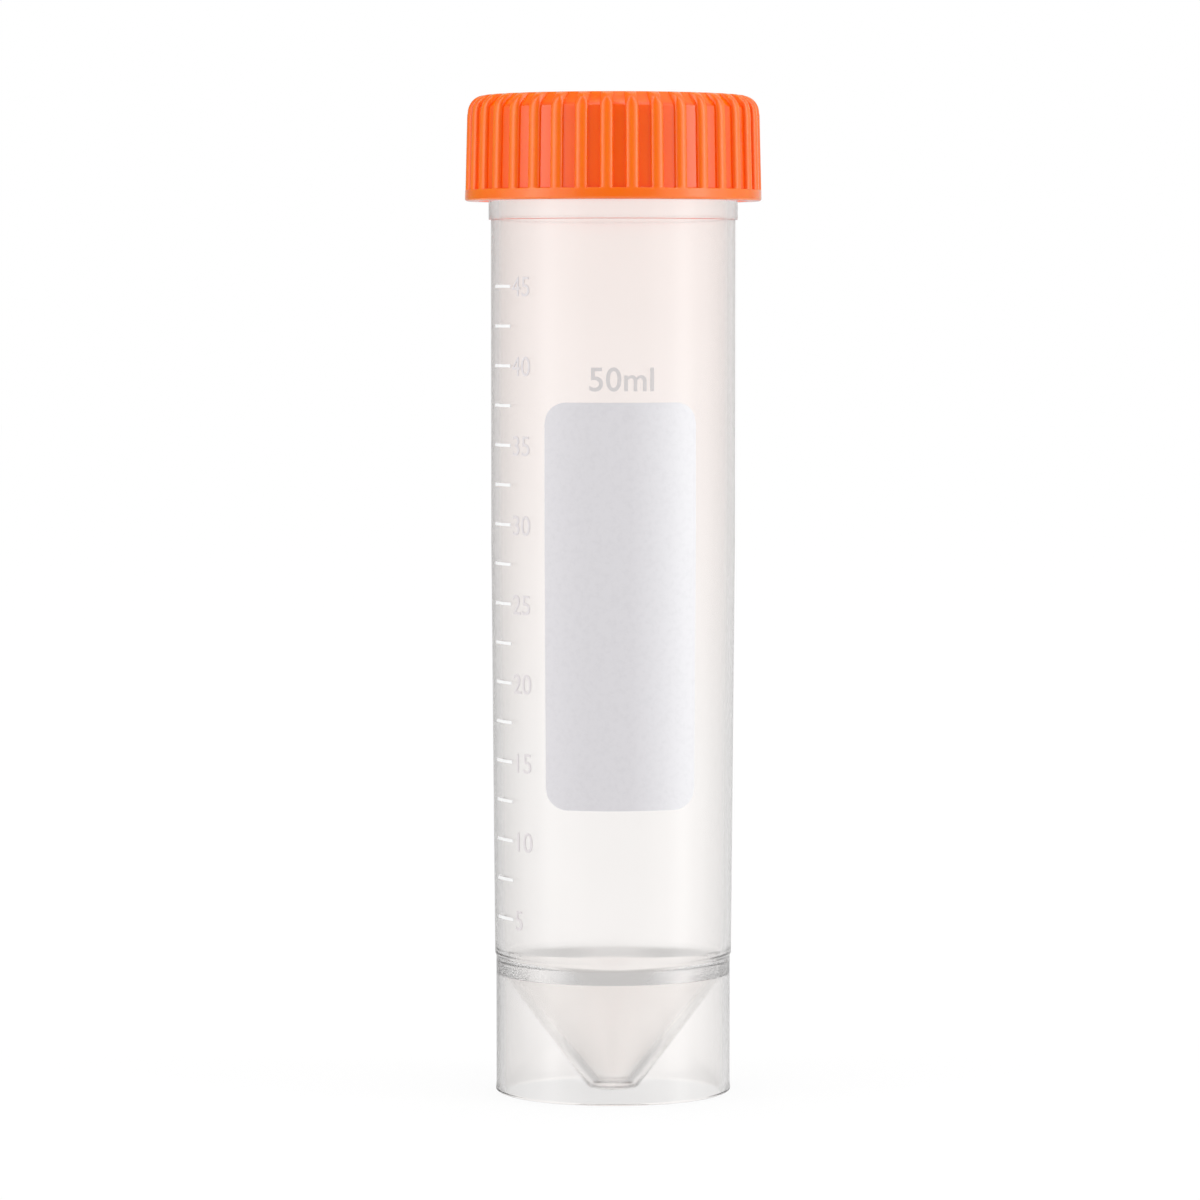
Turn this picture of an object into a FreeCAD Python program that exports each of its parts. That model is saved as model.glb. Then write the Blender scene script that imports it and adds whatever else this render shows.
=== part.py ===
"""A 50 ml conical tube that stands on its own skirt, with its screw cap, seal and print.

The tube is one moulding: a long round body, a screw neck, a cone at the bottom and a skirt
around the cone. The cap screws over the neck and presses a sealing disc on the rim. The
writing panel and the volume marks are thin layers of ink on the outside of the body.

Origin: centre of the skirt's foot, where the tube stands. +Z runs up the tube to the cap,
and the print faces -Y. Lengths are in millimetres, angles in degrees.
"""

import FreeCAD, Part
import Sketcher
import os

SIZES = {
    # body of the tube
    "tube_height": 114.6,  # foot to the rim of the mouth
    "body_radius": 14.3,  # outside of the straight upper body
    "straight_length": 37.9,  # of the body below the neck; it narrows below that
    "body_taper": 0.4,  # how much the radius narrows down to the shelf
    "wall": 1.0,
    # screw neck
    "neck_length": 12.25,
    "neck_step": 0.27,  # the neck stands this far out of the body
    "rim_round": 0.25,
    # skirt
    "shelf_height": 16.35,  # the body ends and the skirt starts
    "shelf_slope": 0.4,  # height of the slope from the skirt out to the body
    "shelf_step": 0.15,
    "skirt_wall": 1.0,
    "foot_flare": 0.1,
    "foot_flare_height": 1.0,
    "foot_round": 0.25,
    # cone, inside the skirt
    "cone_root_drop": 2.3,  # outside of the cone meets the skirt this far below the shelf
    "bowl_drop": 0.2,  # inside of the cone meets the wall this far below the shelf
    "bowl_round": 3.0,
    "tip_height": 0.5,  # underside of the tip above the floor
    "tip_radius": 2.8,
    "tip_thickness": 1.3,
    "tip_round": 0.8,
    "well_radius": 1.8,  # inside of the tip
    "gate_radius": 0.5,  # the stub where the moulding was fed
    "gate_length": 0.3,
    # screw thread, shared by neck and cap
    "thread_pitch": 3.0,
    "thread_depth": 0.85,
    "thread_crest": 0.7,  # width of the thread's top
    "thread_root": 1.7,  # width of the thread where it leaves its wall
    "thread_bite": 0.3,  # the thread's root is sunk this deep in its wall
    "thread_drop": 7.2,  # start of the neck's thread below the rim
    "neck_thread_turns": 1.5,
    "cap_thread_turns": 1.75,
    "thread_play": 0.15,  # gap along the axis between the bearing flanks
    "crest_clearance": 0.25,  # gap between a thread's top and the wall it faces
    # cap
    "cap_depth": 10.9,  # inside, from the seal's face to the edge
    "cap_wall": 1.13,  # between the bore and the floor of the grooves
    "cap_top": 1.4,  # thickness
    "cap_draft": 0.3,  # how much the radius narrows up to the shoulder
    "shoulder_round": 2.0,
    "cap_edge_round": 0.3,
    "cap_rim": 1.3,  # height of the plain band below the grooves
    "groove_count": 36,
    "groove_angle": 4.9,
    "groove_turn": 2.3,  # turns the ring of grooves on the cap
    "groove_depth": 0.55,
    "groove_bevel": 1.6,  # the floor slopes in over this height at the top
    # sealing disc
    "seal_thickness": 0.8,
    "seal_clearance": 0.2,  # around the disc, inside the cap
    # print
    "ink_thickness": 0.08,
    "panel_turn": 4.0,  # from -Y towards +X
    "panel_width": 17.4,
    "panel_height": 47.0,
    "panel_above_shelf": 17.9,
    "panel_corner": 2.4,
    "mark_count": 17,
    "mark_pitch": 4.6,
    "mark_above_shelf": 4.63,
    "mark_height": 0.35,
    "mark_angle": 17.0,
    "mark_turn": -64.5,  # middle of the marks, from -Y towards +X
}

doc = FreeCAD.newDocument("conical_tube")
sheet = doc.addObject("Spreadsheet::Sheet", "sizes")
for row, (name, size) in enumerate(SIZES.items(), start=1):
    sheet.set(f"A{row}", name)
    sheet.set(f"B{row}", str(size))
    sheet.setAlias(f"B{row}", name)
doc.recompute()

# Radii and heights that several outlines share, as expressions on the sheet
NECK_START = "(sizes.tube_height - sizes.neck_length)"
TAPER_TOP = f"({NECK_START} - sizes.straight_length)"
NECK_RADIUS = "(sizes.body_radius + sizes.neck_step)"
MOUTH_RADIUS = "(sizes.body_radius - sizes.wall)"
SHELF_RADIUS = "(sizes.body_radius - sizes.body_taper)"
SKIRT_RADIUS = f"({SHELF_RADIUS} - sizes.shelf_step)"
SKIRT_INSIDE = f"({SKIRT_RADIUS} - sizes.skirt_wall)"
SEAL_TOP = "(sizes.tube_height + sizes.seal_thickness)"
CAP_TOP = f"({SEAL_TOP} + sizes.cap_top)"
CAP_EDGE = f"({SEAL_TOP} - sizes.cap_depth)"
CAP_BORE = f"({NECK_RADIUS} + sizes.thread_depth + sizes.crest_clearance)"
CAP_RADIUS = f"({CAP_BORE} + sizes.cap_wall + sizes.groove_depth)"
SHOULDER_RADIUS = f"({CAP_RADIUS} - sizes.cap_draft)"


def origin_feature(body, role):
    """The body's own origin plane or axis with that role."""
    return next(f for f in body.Origin.OriginFeatures if f.Role == role)


def bind(feature, **expressions):
    """Ties the feature's properties to expressions on the sheet."""
    for name, expression in expressions.items():
        feature.setExpression(name, expression)


def new_body(label):
    body = doc.addObject("PartDesign::Body", label)
    body.Label = label
    return body


def outline(body, name, corners):
    """A closed sketch on the XZ plane. Each named corner is two expressions: radius, height."""
    sketch = body.newObject("Sketcher::SketchObject", name)
    sketch.AttachmentSupport = [(origin_feature(body, "XZ_Plane"), "")]
    sketch.MapMode = "FlatFace"
    count = len(corners)
    # rough places, in order round the outline; the constraints bring each corner to its own
    rough = [FreeCAD.Vector(1 + k, 1 + k * k, 0) for k in range(count)]
    for k in range(count):
        sketch.addGeometry(Part.LineSegment(rough[k], rough[(k + 1) % count]))
    for k in range(count):
        sketch.addConstraint(Sketcher.Constraint("Coincident", k, 2, (k + 1) % count, 1))
    for k, corner in enumerate(corners.values()):
        for kind, axis, place in zip(("DistanceX", "DistanceY"), (-2, -1), corner):
            if place == "0":
                sketch.addConstraint(Sketcher.Constraint("PointOnObject", k, 1, axis))
            else:
                distance = Sketcher.Constraint(kind, -1, 1, k, 1, 1.0 + k)
                number = sketch.addConstraint(distance)
                sketch.setExpression(f"Constraints[{number}]", place)
    return sketch


def turned(body, name, corners, angle="360"):
    """The outline revolved about the Z axis. Returns the feature and its sketch."""
    sketch = outline(body, f"{name}_outline", corners)
    feature = body.newObject("PartDesign::Revolution", name)
    feature.Profile = sketch
    feature.ReferenceAxis = (sketch, ["V_Axis"])
    feature.Midplane = True
    bind(feature, Angle=angle)
    doc.recompute()
    return feature, sketch


def rounded(body, name, feature, sketch, corners, chosen, radius):
    """Rounds the circles that the chosen corners of the outline make on the turned shape."""
    names = list(corners)
    edges = []
    for corner in chosen:
        point = sketch.Geometry[names.index(corner)].StartPoint
        for number, edge in enumerate(feature.Shape.Edges, start=1):
            circle = edge.Curve
            if circle.TypeId != "Part::GeomCircle":
                continue
            if abs(circle.Radius - point.x) < 1e-4 and abs(circle.Center.z - point.y) < 1e-4:
                edges.append(f"Edge{number}")
    if len(edges) != len(chosen):
        raise RuntimeError(f"{name}: {len(edges)} edges found for {len(chosen)} corners")
    fillet = body.newObject("PartDesign::Fillet", name)
    fillet.Base = (feature, edges)
    bind(fillet, Radius=radius)
    doc.recompute()
    return fillet


def screw_thread(body, name, wall, crest, start, turns):
    """A right-hand thread on the wall radius, with its top at the crest radius."""
    inward = f"(({wall} - {crest}) / sizes.thread_depth)"
    sunk = f"{wall} + {inward} * sizes.thread_bite"
    corners = {
        "sunk_low": (sunk, f"{start} - sizes.thread_root / 2"),
        "root_low": (wall, f"{start} - sizes.thread_root / 2"),
        "crest_low": (crest, f"{start} - sizes.thread_crest / 2"),
        "crest_high": (crest, f"{start} + sizes.thread_crest / 2"),
        "root_high": (wall, f"{start} + sizes.thread_root / 2"),
        "sunk_high": (sunk, f"{start} + sizes.thread_root / 2"),
    }
    sketch = outline(body, f"{name}_outline", corners)
    doc.recompute()
    helix = body.newObject("PartDesign::AdditiveHelix", name)
    helix.Profile = sketch
    helix.ReferenceAxis = (sketch, ["V_Axis"])
    helix.Mode = "pitch-turns-angle"
    bind(helix, Pitch="sizes.thread_pitch", Turns=turns)
    doc.recompute()
    return helix


# The neck's thread starts here; the cap's runs just below it, flank under flank
NECK_THREAD_START = "(sizes.tube_height - sizes.thread_drop)"
FLANK = "((sizes.thread_root - sizes.thread_crest) / 2)"
FLANK_SHARED = f"({FLANK} * (1 - sizes.crest_clearance / sizes.thread_depth))"
THREAD_OFFSET = f"(sizes.thread_crest + {FLANK_SHARED} + sizes.thread_play)"
CAP_THREAD_START = f"({NECK_THREAD_START} - {THREAD_OFFSET})"


def make_tube():
    """One moulding: body, neck with its thread, cone and skirt."""
    body = new_body("tube")
    gate_end = "sizes.tip_height - sizes.gate_length"
    well_floor = "sizes.tip_height + sizes.tip_thickness"
    corners = {
        "gate_centre": ("0", gate_end),
        "gate_edge": ("sizes.gate_radius", gate_end),
        "gate_root": ("sizes.gate_radius", "sizes.tip_height"),
        "tip": ("sizes.tip_radius", "sizes.tip_height"),
        "cone_root": (SKIRT_INSIDE, "sizes.shelf_height - sizes.cone_root_drop"),
        "foot_inner": (SKIRT_INSIDE, "0"),
        "foot_outer": (f"{SKIRT_RADIUS} + sizes.foot_flare", "0"),
        "flare_top": (SKIRT_RADIUS, "sizes.foot_flare_height"),
        "skirt_top": (SKIRT_RADIUS, "sizes.shelf_height - sizes.shelf_slope"),
        "shelf": (SHELF_RADIUS, "sizes.shelf_height"),
        "taper_top": ("sizes.body_radius", TAPER_TOP),
        "body_top": ("sizes.body_radius", NECK_START),
        "neck_foot": (NECK_RADIUS, NECK_START),
        "rim_outer": (NECK_RADIUS, "sizes.tube_height"),
        "rim_inner": (MOUTH_RADIUS, "sizes.tube_height"),
        "bore_taper": (MOUTH_RADIUS, TAPER_TOP),
        "bowl_edge": (f"{SHELF_RADIUS} - sizes.wall", "sizes.shelf_height - sizes.bowl_drop"),
        "well": ("sizes.well_radius", well_floor),
        "well_centre": ("0", well_floor),
    }
    shape, sketch = turned(body, "moulding", corners)
    rounds = [
        ("rim_rounds", ["rim_outer", "rim_inner"], "sizes.rim_round"),
        ("foot_rounds", ["foot_inner", "foot_outer"], "sizes.foot_round"),
        ("bowl_rounding", ["bowl_edge"], "sizes.bowl_round"),
        ("tip_rounds", ["tip", "well"], "sizes.tip_round"),
    ]
    for name, chosen, radius in rounds:
        shape = rounded(body, name, shape, sketch, corners, chosen, radius)
    crest = f"({NECK_RADIUS} + sizes.thread_depth)"
    screw_thread(
        body, "neck_thread", NECK_RADIUS, crest, NECK_THREAD_START, "sizes.neck_thread_turns"
    )
    return body


def make_cap():
    """The screw cap, with its ring of grip grooves and its inner thread."""
    body = new_body("cap")
    corners = {
        "top_centre": ("0", CAP_TOP),
        "shoulder": (SHOULDER_RADIUS, CAP_TOP),
        "edge_outer": (CAP_RADIUS, CAP_EDGE),
        "edge_inner": (CAP_BORE, CAP_EDGE),
        "ceiling_edge": (CAP_BORE, SEAL_TOP),
        "ceiling": ("0", SEAL_TOP),
    }
    shape, sketch = turned(body, "shell", corners)
    shape = rounded(
        body, "shoulder_rounding", shape, sketch, corners, ["shoulder"], "sizes.shoulder_round"
    )
    edges = ["edge_outer", "edge_inner"]
    rounded(body, "edge_rounds", shape, sketch, corners, edges, "sizes.cap_edge_round")

    # one groove, cut through the shoulder, then the ring of them
    outside = f"{CAP_RADIUS} + sizes.groove_depth"
    above = f"{CAP_TOP} + sizes.groove_depth"
    floor_foot = f"{CAP_RADIUS} - sizes.groove_depth"
    floor_head = f"{SHOULDER_RADIUS} - sizes.groove_depth"
    groove_corners = {
        "foot_outer": (outside, f"{CAP_EDGE} + sizes.cap_rim"),
        "foot_inner": (floor_foot, f"{CAP_EDGE} + sizes.cap_rim"),
        "floor_head": (floor_head, f"{CAP_TOP} - sizes.groove_bevel"),
        "bevel_head": (f"{floor_head} - sizes.groove_bevel", CAP_TOP),
        "above_inner": (f"{floor_head} - sizes.groove_bevel", above),
        "above_outer": (outside, above),
    }
    groove_sketch = outline(body, "groove_outline", groove_corners)
    bind(groove_sketch, **{"AttachmentOffset.Rotation.Angle": "sizes.groove_turn"})
    groove_sketch.AttachmentOffset = FreeCAD.Placement(
        FreeCAD.Vector(), FreeCAD.Rotation(FreeCAD.Vector(0, 1, 0), 1)
    )
    groove = body.newObject("PartDesign::Groove", "groove")
    groove.Profile = groove_sketch
    groove.ReferenceAxis = (groove_sketch, ["V_Axis"])
    groove.Midplane = True
    bind(groove, Angle="sizes.groove_angle")
    doc.recompute()
    ring = body.newObject("PartDesign::PolarPattern", "groove_ring")
    ring.Originals = [groove]
    ring.Axis = (groove_sketch, ["V_Axis"])
    ring.Angle = 360
    bind(ring, Occurrences="sizes.groove_count")
    body.Tip = ring
    doc.recompute()

    crest = f"({CAP_BORE} - sizes.thread_depth)"
    screw_thread(body, "cap_thread", CAP_BORE, crest, CAP_THREAD_START, "sizes.cap_thread_turns")
    return body


def make_sealing_disc():
    """The disc that the cap presses on the rim."""
    body = new_body("sealing_disc")
    edge = f"{CAP_BORE} - sizes.seal_clearance"
    corners = {
        "bottom_centre": ("0", "sizes.tube_height"),
        "bottom_edge": (edge, "sizes.tube_height"),
        "top_edge": (edge, SEAL_TOP),
        "top_centre": ("0", SEAL_TOP),
    }
    turned(body, "disc", corners)
    return body


def make_ink_sleeve(name):
    """A layer of ink all round the body, from the shelf to the neck."""
    body = new_body(name)
    ink = "sizes.ink_thickness"
    corners = {
        "shelf": (SHELF_RADIUS, "sizes.shelf_height"),
        "taper_top": ("sizes.body_radius", TAPER_TOP),
        "body_top": ("sizes.body_radius", NECK_START),
        "ink_top": (f"sizes.body_radius + {ink}", NECK_START),
        "ink_taper_top": (f"sizes.body_radius + {ink}", TAPER_TOP),
        "ink_shelf": (f"{SHELF_RADIUS} + {ink}", "sizes.shelf_height"),
    }
    turned(body, f"{name}_layer", corners)
    return body


def printed(label, sleeve, stencil, turn):
    """The part of the ink sleeve that the stencil covers, turned about the Z axis."""
    print_ = doc.addObject("Part::Common", label)
    print_.Label = label
    print_.Base = sleeve
    print_.Tool = stencil
    print_.Placement = FreeCAD.Placement(
        FreeCAD.Vector(), FreeCAD.Rotation(FreeCAD.Vector(0, 0, 1), 1)
    )
    bind(print_, **{"Placement.Rotation.Angle": turn})
    doc.recompute()
    return print_


def make_writing_panel():
    """A rounded rectangle of ink to write on."""
    block = doc.addObject("Part::Box", "panel_block")
    bind(
        block,
        Length="sizes.panel_width",
        Width="sizes.body_radius + sizes.ink_thickness",
        Height="sizes.panel_height",
    )
    place = {
        "Placement.Base.x": "-sizes.panel_width / 2",
        "Placement.Base.y": "-sizes.body_radius - sizes.ink_thickness",
        "Placement.Base.z": "sizes.shelf_height + sizes.panel_above_shelf",
    }
    bind(block, **place)
    doc.recompute()
    stencil = doc.addObject("Part::Fillet", "panel_stencil")
    stencil.Base = block
    corner = sheet.get("panel_corner")
    across = [
        (number, corner, corner)
        for number, edge in enumerate(block.Shape.Edges, start=1)
        if abs(edge.tangentAt(edge.FirstParameter).y) > 0.5
    ]
    stencil.Edges = across
    doc.recompute()
    sleeve = make_ink_sleeve("panel_sleeve")
    return printed("writing_panel", sleeve, stencil, "sizes.panel_turn")


def make_volume_marks():
    """The short level lines that mark every 2.5 ml."""
    stencil = new_body("mark_stencil")
    low = "sizes.shelf_height + sizes.mark_above_shelf - sizes.mark_height / 2"
    high = "sizes.shelf_height + sizes.mark_above_shelf + sizes.mark_height / 2"
    inside = "sizes.body_radius - 2 * sizes.body_taper"
    outside = "sizes.body_radius + 2 * sizes.ink_thickness"
    corners = {
        "low_inner": (inside, low),
        "low_outer": (outside, low),
        "high_outer": (outside, high),
        "high_inner": (inside, high),
    }
    mark, sketch = turned(stencil, "lowest_mark", corners, "sizes.mark_angle")
    scale = stencil.newObject("PartDesign::LinearPattern", "scale_of_marks")
    scale.Originals = [mark]
    scale.Direction = (sketch, ["V_Axis"])
    bind(
        scale,
        Length="sizes.mark_pitch * (sizes.mark_count - 1)",
        Occurrences="sizes.mark_count",
    )
    stencil.Tip = scale
    doc.recompute()
    sleeve = make_ink_sleeve("mark_sleeve")
    return printed("volume_marks", sleeve, stencil, "sizes.mark_turn - 90")


def check(parts):
    """Stops with a message if any object failed or a part's shape isn't sound."""
    for thing in doc.Objects:
        if "Invalid" in thing.State or "Error" in thing.State:
            raise RuntimeError(f"{thing.Name} failed: {thing.State}")
    for part in parts:
        if part.Shape.isNull() or not part.Shape.isValid() or not part.Shape.Solids:
            raise RuntimeError(f"{part.Label} has no sound shape")


parts = [
    make_tube(),
    make_cap(),
    make_sealing_disc(),
    make_writing_panel(),
    make_volume_marks(),
]
doc.recompute()
check(parts)
os.makedirs("parts", exist_ok=True)
for part in parts:
    part.Shape.exportStep(f"parts/{part.Label}.step")
    print(f"{part.Label}: {len(part.Shape.Solids)} solids, {part.Shape.Volume:.1f} mm3")
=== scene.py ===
"""The looks of a self-standing conical sample tube with a screw cap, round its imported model."""

import math

import bmesh
import bpy
import numpy as np
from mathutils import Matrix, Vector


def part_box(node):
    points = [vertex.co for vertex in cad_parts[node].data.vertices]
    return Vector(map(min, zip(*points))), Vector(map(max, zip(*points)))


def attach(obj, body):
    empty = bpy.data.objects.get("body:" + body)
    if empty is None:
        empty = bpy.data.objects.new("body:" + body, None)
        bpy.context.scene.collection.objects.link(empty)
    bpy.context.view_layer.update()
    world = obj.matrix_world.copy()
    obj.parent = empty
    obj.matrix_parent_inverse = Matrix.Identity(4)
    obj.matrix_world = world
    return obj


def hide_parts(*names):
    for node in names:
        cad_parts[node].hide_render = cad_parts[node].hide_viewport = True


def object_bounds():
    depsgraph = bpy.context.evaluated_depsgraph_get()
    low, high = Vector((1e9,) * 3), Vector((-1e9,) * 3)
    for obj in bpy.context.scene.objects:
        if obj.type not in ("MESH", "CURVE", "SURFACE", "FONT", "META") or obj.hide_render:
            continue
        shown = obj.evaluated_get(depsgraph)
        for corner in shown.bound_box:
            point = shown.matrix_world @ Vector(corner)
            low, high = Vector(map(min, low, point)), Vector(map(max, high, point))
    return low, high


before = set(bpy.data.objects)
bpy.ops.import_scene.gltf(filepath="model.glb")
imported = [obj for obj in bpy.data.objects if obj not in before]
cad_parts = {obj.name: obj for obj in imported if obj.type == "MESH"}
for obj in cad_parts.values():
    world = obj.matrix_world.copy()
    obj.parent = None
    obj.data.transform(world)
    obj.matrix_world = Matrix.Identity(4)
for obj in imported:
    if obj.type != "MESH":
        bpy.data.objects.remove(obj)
cad_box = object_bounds()

# ---- The tube ------------------------------------------------------------------------
# One moulding of natural polypropylene: a straight body that tapers below, a cone that
# ends in the stub of its gate, and a skirt that the whole stands on. The wall is about
# 1 mm thick, and the neck carries a right-hand screw thread.

MM = 0.001
FRONT = -90  # degrees from +X to the side that faces the viewer

tube_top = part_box("tube")[1].z / MM
body_radius = 14.3
neck_radius = 14.57
mouth_radius = 13.3
shelf_radius = 13.9
skirt_radius = 13.75
skirt_inside = 12.75
neck_start = tube_top - 12.25
taper_top = neck_start - 37.9
shelf_height = 16.35
cone_root = 14.05
tip_radius, tip_height = 2.8, 0.5
well_radius, well_floor = 1.8, 1.8
gate_radius, gate_end = 0.5, 0.2
thread_depth = 0.85
neck_thread_start = tube_top - 7.2


def outline_points(corners):
    """The points of an outline whose corners are (radius, height, rounding)."""
    points = []
    for k, (radius, height, rounding) in enumerate(corners):
        here = np.array([radius, height])
        if not rounding:
            points.append(here)
            continue
        back = np.array(corners[k - 1][:2]) - here
        on = np.array(corners[k + 1][:2]) - here
        back, on = back / np.linalg.norm(back), on / np.linalg.norm(on)
        half = math.acos(back @ on) / 2
        middle = (back + on) / np.linalg.norm(back + on)
        centre = here + middle * rounding / math.sin(half)
        start = here + back * rounding / math.tan(half) - centre
        end = here + on * rounding / math.tan(half) - centre
        turn = math.pi - 2 * half
        steps = max(2, math.ceil(turn / math.radians(12)))
        for share in np.linspace(0, 1, steps + 1):
            spoke = math.sin((1 - share) * turn) * start + math.sin(share * turn) * end
            points.append(centre + spoke / math.sin(turn))
    return np.array(points)


def filled_in(points, low, high, spacing):
    """The outline with more points on the upright wall that runs from low to high."""
    done = [points[0]]
    for before, after in zip(points, points[1:]):
        length = np.linalg.norm(after - before)
        inside = min(before[1], after[1]) >= low and max(before[1], after[1]) <= high
        steps = math.ceil(length / spacing) if inside else 1
        done += [before + (after - before) * k / steps for k in range(1, steps + 1)]
    return np.array(done)


def new_object(name, places, faces, sharp_from=40):
    """A smooth-shaded mesh object from places in mm, with sharp edges above that angle."""
    mesh = bpy.data.meshes.new(name)
    mesh.from_pydata((np.asarray(places) * MM).tolist(), [], faces)
    work = bmesh.new()
    work.from_mesh(mesh)
    bmesh.ops.recalc_face_normals(work, faces=work.faces)
    work.to_mesh(mesh)
    work.free()
    mesh.polygons.foreach_set("use_smooth", [True] * len(mesh.polygons))
    mesh.set_sharp_from_angle(angle=math.radians(sharp_from))
    thing = bpy.data.objects.new(name, mesh)
    bpy.context.scene.collection.objects.link(thing)
    return thing


def turned_skin(name, radii, heights, angles):
    """A closed skin about the axis. radii and heights are tables of (row, angle).

    The first and the last row lie on the axis, so each is one point.
    """
    rows, count = radii.shape
    flat = np.radians(angles)
    rings = np.stack([radii * np.cos(flat), radii * np.sin(flat), heights], axis=-1)
    places = np.concatenate([rings[0, :1], rings[1:-1].reshape(-1, 3), rings[-1, :1]])
    last = len(places) - 1
    faces = []
    for a in range(count):
        b = (a + 1) % count
        faces.append((0, 1 + a, 1 + b))
        for row in range(rows - 3):
            low, high = 1 + row * count, 1 + (row + 1) * count
            faces.append((low + a, high + a, high + b, low + b))
        low = 1 + (rows - 3) * count
        faces.append((low + a, last, low + b))
    return new_object(name, places, faces)


def thread_rise(angles, heights, start, turns, depth, fade=22):
    """How far a screw thread stands out of its wall. It starts at the angle 0 and the
    height start, climbs 3 mm a turn, and runs out softly over fade degrees."""
    pitch, crest, root = 3.0, 0.7, 1.7
    rise = np.zeros_like(heights)
    for turn in range(math.ceil(turns)):
        travelled = (angles % 360) + 360 * turn
        offset = np.abs(heights - start - pitch * travelled / 360)
        shape = np.clip((root / 2 - offset) / ((root - crest) / 2), 0, 1)
        ends = np.minimum(travelled, 360 * turns - travelled)
        rise = np.maximum(rise, depth * shape * np.clip(ends / fade, 0, 1))
    return rise


tube_outline = outline_points([
    (0, gate_end, 0),
    (gate_radius, gate_end, 0.08),
    (gate_radius, tip_height, 0.08),
    (tip_radius, tip_height, 0.8),
    (skirt_inside, cone_root, 0.06),
    (skirt_inside, 0, 0.25),
    (skirt_radius + 0.1, 0, 0.25),
    (skirt_radius, 1.0, 0.3),
    (skirt_radius, shelf_height - 0.4, 0.1),
    (shelf_radius, shelf_height, 0.12),
    (body_radius, taper_top, 0),
    (body_radius, neck_start, 0.03),
    (neck_radius, neck_start, 0.05),
    (neck_radius, tube_top, 0.25),
    (mouth_radius, tube_top, 0.25),
    (mouth_radius, taper_top, 0),
    (shelf_radius - 1.0, shelf_height - 0.2, 3.0),
    (well_radius, well_floor, 0.8),
    (0, well_floor, 0),
])
neck_zone = (neck_start + 0.04, tube_top - 0.2)
tube_outline = filled_in(tube_outline, *neck_zone, 0.13)
tube_angles = np.arange(0, 360, 1.25)
tube_radii = np.repeat(tube_outline[:, :1], len(tube_angles), axis=1)
tube_heights = np.repeat(tube_outline[:, 1:], len(tube_angles), axis=1)
on_neck = (tube_radii > neck_radius - 0.01) & (tube_heights < neck_zone[1] + 0.1)
neck_thread = thread_rise(tube_angles, tube_heights, neck_thread_start, 1.5, thread_depth)
tube_radii = tube_radii + np.where(on_neck, neck_thread, 0)
tube = turned_skin("clear_tube", tube_radii, tube_heights, tube_angles)


def new_group(name, inputs, outputs):
    """An empty shader node group with named number sockets."""
    group = bpy.data.node_groups.new(name, "ShaderNodeTree")
    for label, value in inputs.items():
        socket = group.interface.new_socket(label, in_out="INPUT", socket_type="NodeSocketFloat")
        socket.default_value = value
    for label in outputs:
        group.interface.new_socket(label, in_out="OUTPUT", socket_type="NodeSocketFloat")
    return group, group.nodes.new("NodeGroupInput"), group.nodes.new("NodeGroupOutput")


def add(tree, kind, **settings):
    """A new node with these properties and, by name with _ for a space, input values."""
    node = tree.nodes.new(kind)
    for name, value in settings.items():
        label = name.replace("_", " ")
        if label in node.inputs:
            node.inputs[label].default_value = value
        else:
            setattr(node, name, value)
    return node


def moulded_surface():
    """The faint unevenness of moulded plastic: slow waves from the flow of the melt and
    the fine tooth of the mould. Height is for a bump, Cloud is a slow mask from 0 to 1."""
    inputs = {"Waves": 60.0, "Tooth": 2500.0, "Tooth Share": 0.2}
    group, given, result = new_group("moulded_surface", inputs, ["Height", "Cloud"])
    place = add(group, "ShaderNodeTexCoord")
    waves = add(group, "ShaderNodeTexNoise", Detail=2.0, Roughness=0.5)
    tooth = add(group, "ShaderNodeTexNoise", Detail=3.0, Roughness=0.6)
    mixed = add(group, "ShaderNodeMix", data_type="FLOAT")
    link = group.links.new
    link(place.outputs["Object"], waves.inputs["Vector"])
    link(place.outputs["Object"], tooth.inputs["Vector"])
    link(given.outputs["Waves"], waves.inputs["Scale"])
    link(given.outputs["Tooth"], tooth.inputs["Scale"])
    link(given.outputs["Tooth Share"], mixed.inputs[0])
    link(waves.outputs["Fac"], mixed.inputs[2])
    link(tooth.outputs["Fac"], mixed.inputs[3])
    link(mixed.outputs[0], result.inputs["Height"])
    link(waves.outputs["Fac"], result.inputs["Cloud"])
    return group


surface_group = moulded_surface()


def plastic(name, dark, light, waves, tooth, tooth_share, relief, **shader_values):
    """A moulded plastic whose colour drifts between two tones, with a fine relief in mm."""
    material = bpy.data.materials.new(name)
    material.use_nodes = True
    tree = material.node_tree
    shader = tree.nodes["Principled BSDF"]
    for label, value in shader_values.items():
        shader.inputs[label.replace("_", " ")].default_value = value
    surface = add(tree, "ShaderNodeGroup", node_tree=surface_group)
    surface.inputs["Waves"].default_value = waves
    surface.inputs["Tooth"].default_value = tooth
    surface.inputs["Tooth Share"].default_value = tooth_share
    tones = add(tree, "ShaderNodeValToRGB")
    tones.color_ramp.elements[0].position = 0.3
    tones.color_ramp.elements[0].color = (*dark, 1)
    tones.color_ramp.elements[1].position = 0.7
    tones.color_ramp.elements[1].color = (*light, 1)
    bump = add(tree, "ShaderNodeBump", Distance=relief * MM, Strength=1.0)
    tree.links.new(surface.outputs["Cloud"], tones.inputs["Fac"])
    tree.links.new(tones.outputs["Color"], shader.inputs["Base Color"])
    tree.links.new(surface.outputs["Height"], bump.inputs["Height"])
    tree.links.new(bump.outputs["Normal"], shader.inputs["Normal"])
    return material


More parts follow.
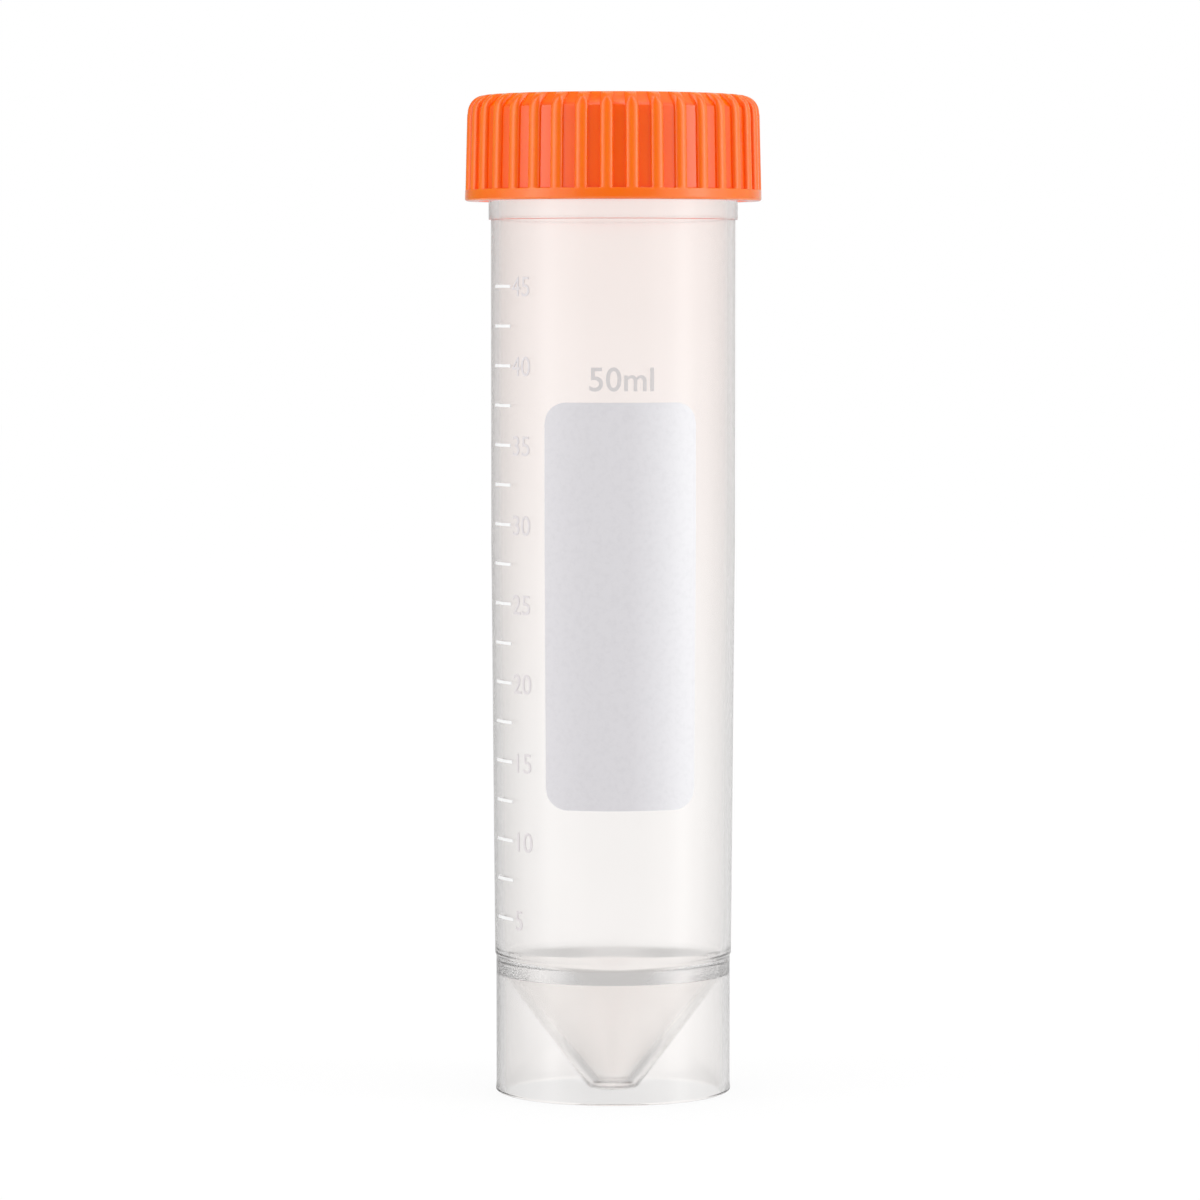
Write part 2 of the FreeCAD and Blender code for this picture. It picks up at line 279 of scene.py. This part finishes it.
def tint_where(material, mask, tint):
    """Multiplies the material's colour by the tint, as far as the mask output is 1."""
    tree = material.node_tree
    colour = tree.nodes["Principled BSDF"].inputs["Base Color"]
    tinted = add(tree, "ShaderNodeMix", data_type="RGBA", blend_type="MULTIPLY")
    tinted.inputs[7].default_value = (*tint, 1)
    tree.links.new(mask, tinted.inputs[0])
    tree.links.new(colour.links[0].from_socket, tinted.inputs[6])
    tree.links.new(tinted.outputs[2], colour)


clear_plastic = plastic(
    "natural_polypropylene",
    dark=(0.988, 0.974, 0.965),
    light=(0.998, 0.984, 0.975),
    waves=90,
    tooth=1500,
    tooth_share=0.1,
    relief=0.005,
    Roughness=0.09,
    IOR=1.49,
    Transmission_Weight=0.995,
)
tree = clear_plastic.node_tree
haze = add(tree, "ShaderNodeVolumeAbsorption", Color=(0.6, 0.6, 0.6, 1), Density=10.0)
tree.links.new(haze.outputs["Volume"], tree.nodes["Material Output"].inputs["Volume"])
# Painted light: a warm tint toward the neck stands in for the light from the orange cap
warm_from, warm_full = 40, 104
place = add(tree, "ShaderNodeTexCoord")
parts = add(tree, "ShaderNodeSeparateXYZ")
painted_cap_light_mask = add(tree, "ShaderNodeMapRange", From_Min=warm_from * MM, From_Max=warm_full * MM)
tree.links.new(place.outputs["Object"], parts.inputs["Vector"])
tree.links.new(parts.outputs["Z"], painted_cap_light_mask.inputs["Value"])
tint_where(clear_plastic, painted_cap_light_mask.outputs["Result"], (1.0, 0.96, 0.948))
tube.data.materials.append(clear_plastic)
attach(tube, "tube")
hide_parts("tube")

# ---- The print on the body -----------------------------------------------------------
# A matt grey panel to write on, white lines every 2.5 ml with a number at each 5 ml, and
# the tube's volume above the panel. All of it is a film of ink screened on the outside.

ink = 0.06
ink_gap = 0.01


def wall_radius(height):
    """The outside of the body at a height."""
    share = np.clip((height - shelf_height) / (taper_top - shelf_height), 0, 1)
    return shelf_radius + (body_radius - shelf_radius) * share


def ink_film(angles, lows, highs, rows):
    """Places and faces of a film on the wall. Each angle has its lowest and highest point."""
    count = len(angles)
    places, faces = [], []
    for lift in (ink_gap, ink_gap + ink):
        for share in np.linspace(0, 1, rows + 1):
            height = lows + (highs - lows) * share
            radius = wall_radius(height) + lift
            flat = np.radians(angles)
            places.append(np.stack([radius * np.cos(flat), radius * np.sin(flat), height], -1))
    places = np.concatenate(places)
    skin = (rows + 1) * count
    for a in range(count - 1):
        for row in range(rows):
            low, high = row * count + a, (row + 1) * count + a
            faces.append((low, high, high + 1, low + 1))
            faces.append((skin + low, skin + low + 1, skin + high + 1, skin + high))
        top = rows * count + a
        faces.append((a, a + 1, skin + a + 1, skin + a))
        faces.append((top, skin + top, skin + top + 1, top + 1))
    for row in range(rows):
        for end in (0, count - 1):
            low, high = row * count + end, (row + 1) * count + end
            faces.append((low, skin + low, skin + high, high))
    return places, faces


def ink_surface():
    """The even but slightly open lay of screened ink: Cover is 1 where it is full."""
    group, given, result = new_group("ink_surface", {"Grain": 1800.0}, ["Cover", "Height"])
    place = add(group, "ShaderNodeTexCoord")
    grain = add(group, "ShaderNodeTexNoise", Detail=4.0, Roughness=0.65)
    cover = add(group, "ShaderNodeMapRange", From_Min=0.3, From_Max=0.55)
    group.links.new(place.outputs["Object"], grain.inputs["Vector"])
    group.links.new(given.outputs["Grain"], grain.inputs["Scale"])
    group.links.new(grain.outputs["Fac"], cover.inputs["Value"])
    group.links.new(cover.outputs["Result"], result.inputs["Cover"])
    group.links.new(grain.outputs["Fac"], result.inputs["Height"])
    return group


ink_group = ink_surface()


def printed_ink(name, thin, full, grain, **shader_values):
    """An ink whose colour is a little thinner between its grains."""
    material = bpy.data.materials.new(name)
    material.use_nodes = True
    tree = material.node_tree
    shader = tree.nodes["Principled BSDF"]
    for label, value in shader_values.items():
        shader.inputs[label.replace("_", " ")].default_value = value
    surface = add(tree, "ShaderNodeGroup", node_tree=ink_group)
    surface.inputs["Grain"].default_value = grain
    tones = add(tree, "ShaderNodeValToRGB")
    tones.color_ramp.elements[0].color = (*thin, 1)
    tones.color_ramp.elements[1].color = (*full, 1)
    bump = add(tree, "ShaderNodeBump", Distance=0.02 * MM, Strength=0.6)
    tree.links.new(surface.outputs["Cover"], tones.inputs["Fac"])
    tree.links.new(tones.outputs["Color"], shader.inputs["Base Color"])
    tree.links.new(surface.outputs["Height"], bump.inputs["Height"])
    tree.links.new(bump.outputs["Normal"], shader.inputs["Normal"])
    return material


panel_ink = printed_ink("grey_ink", (0.66, 0.645, 0.67), (0.69, 0.675, 0.70), 1500, Roughness=0.3)
title_ink = printed_ink("dark_grey_ink", (0.60, 0.57, 0.57), (0.64, 0.61, 0.61), 3000, Roughness=0.5)
mark_ink = printed_ink("white_ink", (0.90, 0.90, 0.90), (0.96, 0.96, 0.96), 3000, Roughness=0.45)
number_ink = printed_ink("faint_ink", (0.70, 0.66, 0.67), (0.75, 0.71, 0.72), 3000, Roughness=0.45)


def print_on_tube(thing, material, slot_name, *nodes):
    """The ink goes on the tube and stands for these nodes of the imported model."""
    thing.data.materials.clear()
    thing.data.materials.append(material)
    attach(thing, "tube")
    if nodes:
        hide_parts(*nodes)


panel_low, panel_high = (corner.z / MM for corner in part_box("writing_panel"))
panel_centre = FRONT + 4
panel_half_width = 8.7  # straight across, not along the wall
panel_corner = 2.4

panel_half_angle = math.degrees(math.asin(panel_half_width / body_radius))
panel_turn = np.linspace(-panel_half_angle, panel_half_angle, 97)
across = np.abs(body_radius * np.sin(np.radians(panel_turn)))
past = np.clip(across - (panel_half_width - panel_corner), 0, panel_corner)
cut_off = panel_corner - np.sqrt(np.maximum(panel_corner**2 - past**2, 0))
film = ink_film(panel_centre + panel_turn, panel_low + cut_off, panel_high - cut_off, 40)
writing_panel = new_object("writing_panel_ink", *film)
print_on_tube(writing_panel, panel_ink, "panel_ink", "writing_panel")
# Painted highlight: the ink is made paler toward the panel's right edge, where the light catches it
highlight_from, highlight_full = 2, 9
tree = panel_ink.node_tree
place = add(tree, "ShaderNodeTexCoord")
parts = add(tree, "ShaderNodeSeparateXYZ")
painted_highlight_mask = add(tree, "ShaderNodeMapRange", From_Min=highlight_from * MM, From_Max=highlight_full * MM)
tree.links.new(place.outputs["Object"], parts.inputs["Vector"])
tree.links.new(parts.outputs["X"], painted_highlight_mask.inputs["Value"])
tint_where(panel_ink, painted_highlight_mask.outputs["Result"], (1.2, 1.22, 1.21))

mark_count = 17
mark_height = 0.35
mark_from, mark_to = FRONT - 73, FRONT - 56
marks_low, marks_high = (corner.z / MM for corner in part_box("volume_marks"))
mark_pitch = (marks_high - marks_low - mark_height) / (mark_count - 1)
mark_angles = np.arange(mark_from, mark_to + 0.5)
mark_places, mark_faces = [], []
for k in range(mark_count):
    low = np.full(len(mark_angles), marks_low + k * mark_pitch)
    places, faces = ink_film(mark_angles, low, low + mark_height, 1)
    begin = k * len(places)
    mark_places.append(places)
    mark_faces += [tuple(begin + corner for corner in face) for face in faces]
volume_marks = new_object("volume_lines", np.concatenate(mark_places), mark_faces)
print_on_tube(volume_marks, mark_ink, "mark_ink", "volume_marks")


def lettering(words, height, angle, baseline, align="CENTER", spacing=1.0, bold=0.0):
    """Places and faces of words in ink, bent round the body from a flat setting.

    height is that of a digit; angle and baseline say where the words stand.
    """
    setting = bpy.data.curves.new("setting", "FONT")
    setting.body = words
    setting.align_x = align
    setting.size = height / 0.7
    setting.space_character = spacing
    setting.offset = bold
    setting.extrude = ink / 2
    setting.resolution_u = 6
    flat = bpy.data.objects.new("setting", setting)
    mesh = bpy.data.meshes.new_from_object(flat)
    work = bmesh.new()
    work.from_mesh(mesh)
    bmesh.ops.remove_doubles(work, verts=work.verts, dist=1e-4)
    left = min(v.co.x for v in work.verts)
    right = max(v.co.x for v in work.verts)
    for x in np.arange(left, right, 0.3)[1:]:
        whole = work.verts[:] + work.edges[:] + work.faces[:]
        bmesh.ops.bisect_plane(work, geom=whole, plane_co=(x, 0, 0), plane_no=(1, 0, 0))
    work.verts.index_update()
    flat_places = np.array([v.co[:] for v in work.verts])
    faces = [tuple(v.index for v in face.verts) for face in work.faces]
    work.free()
    bpy.data.objects.remove(flat)
    bpy.data.meshes.remove(mesh)
    bpy.data.curves.remove(setting)
    along, up, out = flat_places.T
    tall = baseline + up
    radius = wall_radius(tall) + ink_gap + ink / 2 + out
    turn = np.radians(angle) + along / wall_radius(tall)
    return np.stack([radius * np.cos(turn), radius * np.sin(turn), tall], -1), faces


number_height = 2.3
number_angle = mark_to + 1.2
number_places, number_faces, begin = [], [], 0
for k in range(0, mark_count, 2):
    middle = marks_low + mark_height / 2 + k * mark_pitch
    words = str(5 + 5 * (k // 2))
    places, faces = lettering(words, number_height, number_angle, middle - number_height / 2, "LEFT")
    number_places.append(places)
    number_faces += [tuple(begin + corner for corner in face) for face in faces]
    begin += len(places)
volume_numbers = new_object("volume_numbers", np.concatenate(number_places), number_faces)
print_on_tube(volume_numbers, number_ink, "mark_ink")

title_height = 2.7
title_baseline = panel_high + 1.35
title = lettering("50ml", title_height, panel_centre, title_baseline, spacing=1.03, bold=0.04)
volume_title = new_object("volume_title", *title)
print_on_tube(volume_title, title_ink, "panel_ink")

# ---- The sealing disc ----------------------------------------------------------------
# A soft pale rubber disc in the cap's ceiling. The rim of the neck presses on it and has
# left a shallow ring.

disc_low, disc_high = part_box("sealing_disc")
disc_bottom, disc_top = disc_low.z / MM, disc_high.z / MM
disc_radius = disc_high.x / MM
rim_middle = (neck_radius + mouth_radius) / 2
disc_outline = outline_points([
    (0, disc_bottom, 0),
    (rim_middle - 0.75, disc_bottom, 0.3),
    (rim_middle - 0.45, disc_bottom + 0.04, 0.3),
    (rim_middle + 0.45, disc_bottom + 0.04, 0.3),
    (rim_middle + 0.75, disc_bottom, 0.3),
    (disc_radius, disc_bottom, 0.15),
    (disc_radius, disc_top - 0.02, 0.15),
    (0, disc_top - 0.02, 0),
])
disc_angles = np.arange(0, 360, 2.5)
disc_radii = np.repeat(disc_outline[:, :1], len(disc_angles), axis=1)
disc_heights = np.repeat(disc_outline[:, 1:], len(disc_angles), axis=1)
sealing_disc = turned_skin("sealing_disc_rubber", disc_radii, disc_heights, disc_angles)
sealing_disc.data.materials.append(plastic(
    "pale_rubber",
    dark=(0.80, 0.79, 0.76),
    light=(0.86, 0.85, 0.82),
    waves=150,
    tooth=4000,
    tooth_share=0.5,
    relief=0.02,
    Roughness=0.7,
    IOR=1.45,
))
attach(sealing_disc, "seal")
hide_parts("sealing_disc")

# ---- The cap -------------------------------------------------------------------------
# A screw cap moulded in orange polypropylene. A ring of 36 grip grooves runs from just
# above the lower rim out through the rounded shoulder, and a thread runs inside.

cap_low, cap_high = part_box("cap")
cap_edge, cap_top = cap_low.z / MM, cap_high.z / MM
cap_radius = 17.35
shoulder_radius = 17.05
cap_bore = 15.67
ceiling = disc_top
shoulder_round = 2.0
groove_count = 36
groove_turn = 2.3
groove_depth = 0.55
groove_foot = cap_edge + 1.3
bevel = 1.6
edge_round = 0.3


def cap_side(height, sunk=0):
    """The radius of the cap's side, or of the grooves' floor when sunk by their depth."""
    share = (height - cap_edge) / (cap_top - cap_edge)
    return cap_radius + (shoulder_radius - cap_radius) * share - sunk


# Rows of (rib radius, rib height, groove radius, groove height), from the top's centre
cap_rows = [(r, cap_top, r, cap_top) for r in (0, 5, 10, 13, 14.4)]
bevel_top = shoulder_radius - groove_depth - bevel
bevel_line = outline_points([
    (bevel_top - 0.4, cap_top, 0),
    (bevel_top, cap_top, 0.25),
    (shoulder_radius - groove_depth, cap_top - bevel, 0.12),
    (shoulder_radius - groove_depth, cap_top - bevel - 0.4, 0),
])
for k, (groove_r, groove_z) in enumerate(bevel_line[1:-1]):
    slope = math.pi / 2 * k / (len(bevel_line) - 3)
    rib_r = shoulder_radius - shoulder_round * (1 - math.sin(slope))
    rib_z = cap_top - shoulder_round * (1 - math.cos(slope))
    cap_rows.append((rib_r, rib_z, groove_r, groove_z))
for height in np.linspace(cap_top - shoulder_round - 0.3, groove_foot + 0.5, 10):
    cap_rows.append((cap_side(height), height, cap_side(height, groove_depth), height))
foot_line = outline_points([
    (cap_side(groove_foot, groove_depth), groove_foot + 0.3, 0),
    (cap_side(groove_foot, groove_depth), groove_foot, 0.12),
    (cap_side(groove_foot), groove_foot, 0.12),
    (cap_side(groove_foot), groove_foot - 0.3, 0),
])
for share, (groove_r, groove_z) in zip(np.linspace(0, 1, len(foot_line)), foot_line):
    rib_z = groove_foot + 0.3 - 0.6 * share
    cap_rows.append((cap_side(rib_z), rib_z, groove_r, groove_z))
inside_line = outline_points([
    (cap_side(cap_edge + 0.8), cap_edge + 0.8, 0),
    (cap_radius, cap_edge, edge_round),
    (cap_bore, cap_edge, edge_round),
    (cap_bore, ceiling, 0.2),
    (0, ceiling, 0),
])
bore_zone = (cap_edge + edge_round - 0.01, ceiling - 0.19)
inside_line = filled_in(inside_line, *bore_zone, 0.2)
cap_rows += [(r, z, r, z) for r, z in inside_line]
cap_rows = np.array(cap_rows)

# Across one groove, as degrees from its middle and share of its full depth: a flat floor
# between two ribs, each with the crown of half an ellipse
pitch_angle = 360 / groove_count
rib_half_angle = 2.65
crown = np.radians(np.arange(90, -1, -10))
rib_turn = pitch_angle / 2 - rib_half_angle * np.sin(crown)
half_turn = np.concatenate([[0, 1.2], rib_turn])
half_sunk = np.concatenate([[1, 1], 1 - np.cos(crown)])
section_turn = np.concatenate([-half_turn[-2:0:-1], half_turn])
section_sunk = np.concatenate([half_sunk[-2:0:-1], half_sunk])
cap_angles = np.concatenate([
    FRONT + groove_turn + k * pitch_angle + section_turn for k in range(groove_count)
])
sunk = np.tile(section_sunk, groove_count)
cap_radii = cap_rows[:, :1] + (cap_rows[:, 2:3] - cap_rows[:, :1]) * sunk
cap_heights = cap_rows[:, 1:2] + (cap_rows[:, 3:4] - cap_rows[:, 1:2]) * sunk
in_bore = np.abs(cap_radii - cap_bore) < 0.001
bore_heights = np.where(in_bore & (cap_heights > bore_zone[0]), cap_heights, 0)
cap_thread_start = neck_thread_start - 1.211  # between the turns of the neck's thread
cap_thread = thread_rise(cap_angles, bore_heights, cap_thread_start, 1.75, thread_depth)
cap_radii = cap_radii - cap_thread
cap = turned_skin("orange_cap", cap_radii, cap_heights, cap_angles)
cap_plastic = plastic(
    "orange_polypropylene",
    dark=(0.97, 0.155, 0.002),
    light=(1.0, 0.175, 0.003),
    waves=70,
    tooth=3000,
    tooth_share=0.35,
    relief=0.015,
    Roughness=0.35,
    IOR=1.49,
    Specular_IOR_Level=0.0,
    Coat_Weight=1.0,
    Coat_Roughness=0.12,
    Coat_IOR=1.7,
    Subsurface_Weight=0.35,
    Subsurface_Scale=0.003,
    Subsurface_Radius=(1.0, 0.3, 0.1),
)
# Painted shade: the orange is made deeper and redder down in the grooves and inside than on the
# ribs, for the shade and the orange light that fall there. The masks go by the distance from the
# axis, as it would be at the cap's foot without draft
tree = cap_plastic.node_tree
place = add(tree, "ShaderNodeTexCoord")
parts = add(tree, "ShaderNodeSeparateXYZ")
flat = add(tree, "ShaderNodeVectorMath", operation="MULTIPLY")
flat.inputs[1].default_value = (1, 1, 0)
out = add(tree, "ShaderNodeVectorMath", operation="LENGTH")
narrowing = (cap_radius - shoulder_radius) / (cap_top - cap_edge)
undrafted = add(tree, "ShaderNodeMath", operation="MULTIPLY_ADD")
undrafted.inputs[1].default_value = narrowing
rib_line = (cap_radius + narrowing * cap_edge) * MM
sunk_in = add(
    tree, "ShaderNodeMapRange", From_Min=rib_line - 0.1 * MM, From_Max=rib_line - 0.5 * MM
)
below_top = add(
    tree, "ShaderNodeMapRange", From_Min=(cap_top - 0.2) * MM, From_Max=(cap_top - 1.5) * MM
)
painted_groove_shade = add(tree, "ShaderNodeMath", operation="MULTIPLY")
link = tree.links.new
link(place.outputs["Object"], parts.inputs["Vector"])
link(place.outputs["Object"], flat.inputs[0])
link(flat.outputs["Vector"], out.inputs[0])
link(parts.outputs["Z"], undrafted.inputs[0])
link(out.outputs["Value"], undrafted.inputs[2])
link(undrafted.outputs[0], sunk_in.inputs["Value"])
link(parts.outputs["Z"], below_top.inputs["Value"])
link(sunk_in.outputs["Result"], painted_groove_shade.inputs[0])
link(below_top.outputs["Result"], painted_groove_shade.inputs[1])
tint_where(cap_plastic, painted_groove_shade.outputs[0], (1.0, 0.64, 0.6))
# Painted glow: the inside is given a weak orange emission for the light that comes through the thin
# wall
inside = add(tree, "ShaderNodeMapRange", From_Min=rib_line - 0.75 * MM, From_Max=rib_line - MM)
painted_glow_mask = add(tree, "ShaderNodeMath", operation="MULTIPLY")
glow = add(tree, "ShaderNodeMix", data_type="RGBA")
glow.inputs[6].default_value, glow.inputs[7].default_value = (0, 0, 0, 1), (1, 0.08, 0, 1)
shader = tree.nodes["Principled BSDF"]
shader.inputs["Emission Strength"].default_value = 0.5
link(undrafted.outputs[0], inside.inputs["Value"])
link(inside.outputs["Result"], painted_glow_mask.inputs[0])
link(below_top.outputs["Result"], painted_glow_mask.inputs[1])
link(painted_glow_mask.outputs[0], glow.inputs[0])
link(glow.outputs[2], shader.inputs["Emission Color"])
cap.data.materials.append(cap_plastic)
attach(cap, "cap")
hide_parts("cap")

# ---- The studio ----------------------------------------------------------------------
# A white table in a room whose walls the plastic mirrors: bright on both sides, dark
# behind the viewer. To the viewer the table and the backdrop are plain white.

scene = bpy.context.scene
scene.view_settings.view_transform = "Standard"
scene.cycles.max_bounces = 40
scene.cycles.glossy_bounces = 24
scene.cycles.transmission_bounces = 32


def room_levels(name, levels):
    """How bright the room is round the object: pairs of degrees, from the viewer to the
    viewer's right, and the brightness there."""
    group = bpy.data.node_groups.new(name, "ShaderNodeTree")
    group.interface.new_socket("Direction", in_out="INPUT", socket_type="NodeSocketVector")
    group.interface.new_socket("Level", in_out="OUTPUT", socket_type="NodeSocketFloat")
    given, result = group.nodes.new("NodeGroupInput"), group.nodes.new("NodeGroupOutput")
    turn = add(group, "ShaderNodeTexGradient", gradient_type="RADIAL")
    ramp = add(group, "ShaderNodeValToRGB")
    ramp.color_ramp.interpolation = "EASE"
    brightest = max(level for _, level in levels)
    stops = sorted((((azimuth + 90) / 360) % 1, level / brightest) for azimuth, level in levels)
    (first, after), (last, before) = stops[0], stops[-1]
    seam = before + (after - before) * (1 - last) / (1 - last + first)
    stops = [(0.0, seam), *stops, (1.0, seam)]
    elements = ramp.color_ramp.elements
    for position, level in stops[1:-1]:
        elements.new(position)
    for element, (position, level) in zip(elements, stops):
        element.color = (level, level, level, 1)
    scaled = add(group, "ShaderNodeMath", operation="MULTIPLY")
    scaled.inputs[1].default_value = brightest
    group.links.new(given.outputs["Direction"], turn.inputs["Vector"])
    group.links.new(turn.outputs["Fac"], ramp.inputs["Fac"])
    group.links.new(ramp.outputs["Color"], scaled.inputs[0])
    group.links.new(scaled.outputs[0], result.inputs["Level"])
    return group


# Walls as the plastic mirrors them, and the backdrop as it shows through the plastic
walls = room_levels("walls", [
    (-180, 0.70), (-150, 0.20), (-130, 0.12), (-105, 0.25), (-85, 0.80), (-63, 1.80),
    (-42, 0.90), (-22, 0.20), (0, 0.07), (25, 0.20), (48, 0.90), (70, 2.20),
    (90, 1.10), (110, 0.60), (135, 0.45), (155, 0.60),
])
backdrop = room_levels("backdrop", [
    (-150, 0.82), (-165, 0.88), (-174, 0.95), (-178, 1.00), (180, 1.00), (173, 1.00),
    (167, 0.95), (150, 0.85),
])


def mix(tree, factor, first, second):
    """Output of a mix of two numbers or outputs by a factor output."""
    node = add(tree, "ShaderNodeMix", data_type="FLOAT")
    tree.links.new(factor, node.inputs[0])
    for socket, value in ((node.inputs[2], first), (node.inputs[3], second)):
        if isinstance(value, (int, float)):
            socket.default_value = value
        else:
            tree.links.new(value, socket)
    return node.outputs[0]


world = bpy.data.worlds.new("white_room")
scene.world = world
world.use_nodes = True
tree = world.node_tree
direction = add(tree, "ShaderNodeTexCoord")
path = add(tree, "ShaderNodeLightPath")
around = add(tree, "ShaderNodeGroup", node_tree=walls)
behind = add(tree, "ShaderNodeGroup", node_tree=backdrop)
slope = add(tree, "ShaderNodeSeparateXYZ")
low = add(tree, "ShaderNodeMapRange", From_Min=-0.15, From_Max=-0.4)
for node, socket in ((around, "Direction"), (behind, "Direction"), (slope, "Vector")):
    tree.links.new(direction.outputs["Generated"], node.inputs[socket])
tree.links.new(slope.outputs["Z"], low.inputs["Value"])
mirrored = mix(tree, low.outputs["Result"], around.outputs["Level"], 1.0)
level = mix(tree, path.outputs["Is Glossy Ray"], 1.0, mirrored)
level = mix(tree, path.outputs["Is Transmission Ray"], level, behind.outputs["Level"])
level = mix(tree, path.outputs["Is Camera Ray"], level, 1.0)
tree.nodes["Background"].inputs["Color"].default_value = (1, 1, 1, 1)
tree.links.new(level, tree.nodes["Background"].inputs["Strength"])

table_half = 3.0
table_mesh = bpy.data.meshes.new("table")
table_mesh.from_pydata(
    [(x * table_half, y * table_half, 0) for x, y in ((-1, -1), (1, -1), (1, 1), (-1, 1))],
    [],
    [(0, 1, 2, 3)],
)
table = bpy.data.objects.new("table", table_mesh)
scene.collection.objects.link(table)
table_white = bpy.data.materials.new("table_white")
table_white.use_nodes = True
tree = table_white.node_tree
tree.nodes.remove(tree.nodes["Principled BSDF"])
path = add(tree, "ShaderNodeLightPath")
place = add(tree, "ShaderNodeTexCoord")
behind = add(tree, "ShaderNodeGroup", node_tree=backdrop)
across = add(tree, "ShaderNodeSeparateXYZ")
aside = add(tree, "ShaderNodeMath", operation="ABSOLUTE")
# Painted shade under the tube: 60 % at its middle, none from 16 mm to the side
painted_under_shade = add(tree, "ShaderNodeMapRange", From_Min=0.008, From_Max=0.016, To_Min=0.60, To_Max=1.0)
slant = add(tree, "ShaderNodeLayerWeight", Blend=0.5)
far = add(tree, "ShaderNodeMapRange", From_Min=0.577, From_Max=0.603)
link = tree.links.new
link(place.outputs["Object"], behind.inputs["Direction"])
link(place.outputs["Object"], across.inputs["Vector"])
link(across.outputs["X"], aside.inputs[0])
link(aside.outputs[0], painted_under_shade.inputs["Value"])
link(slant.outputs["Facing"], far.inputs["Value"])
# Through the plastic, steep views meet the painted shade under the tube and flat ones the room
level = mix(tree, far.outputs["Result"], painted_under_shade.outputs["Result"], behind.outputs["Level"])
level = mix(tree, path.outputs["Is Transmission Ray"], 0.0, level)
level = mix(tree, path.outputs["Is Camera Ray"], level, 0.88)
glow = add(tree, "ShaderNodeEmission")
link(level, glow.inputs["Strength"])
# Its own shade is faint to the viewer, full for the light that it gives back
shade = mix(tree, path.outputs["Is Transmission Ray"], 0.75, 0.0)
shade = mix(tree, path.outputs["Is Camera Ray"], shade, 0.12)
dull = add(tree, "ShaderNodeBsdfDiffuse")
both = add(tree, "ShaderNodeAddShader")
link(shade, dull.inputs["Color"])
link(glow.outputs[0], both.inputs[0])
link(dull.outputs[0], both.inputs[1])
link(both.outputs[0], tree.nodes["Material Output"].inputs["Surface"])
table_mesh.materials.append(table_white)
table.visible_glossy = False

aim = (0, 0, (cad_box[0].z + cad_box[1].z) / 2)


def soft_lamp(name, azimuth, width, height, brightness, distance=0.9):
    """A tall soft lamp that faces the object, at an azimuth from the viewer's side."""
    lamp = bpy.data.lights.new(name, "AREA")
    lamp.shape = "RECTANGLE"
    lamp.size, lamp.size_y = width, height
    lamp.energy = brightness * math.pi * width * height
    thing = bpy.data.objects.new(name, lamp)
    turn = math.radians(FRONT + azimuth)
    thing.location = (distance * math.cos(turn), distance * math.sin(turn), aim[2] + 0.15)
    thing.rotation_euler = (math.radians(90 - 9.5), 0, turn + math.radians(90))
    thing.visible_camera = False
    thing.visible_transmission = False
    thing.visible_glossy = False
    scene.collection.objects.link(thing)
    return thing


soft_lamp("left_lamp", -66, 0.28, 1.2, 2.2)
soft_lamp("right_lamp", 72, 0.28, 1.2, 2.8)

camera = bpy.data.cameras.new("viewer")
camera.lens = 158.6
camera.sensor_width = 36
tilt_down = 3.346
viewer = bpy.data.objects.new("viewer", camera)
viewer.location = (-0.00154, -0.62, 0.09404)
viewer.rotation_euler = (math.radians(90 - tilt_down), 0, 0)
scene.collection.objects.link(viewer)
scene.camera = viewer
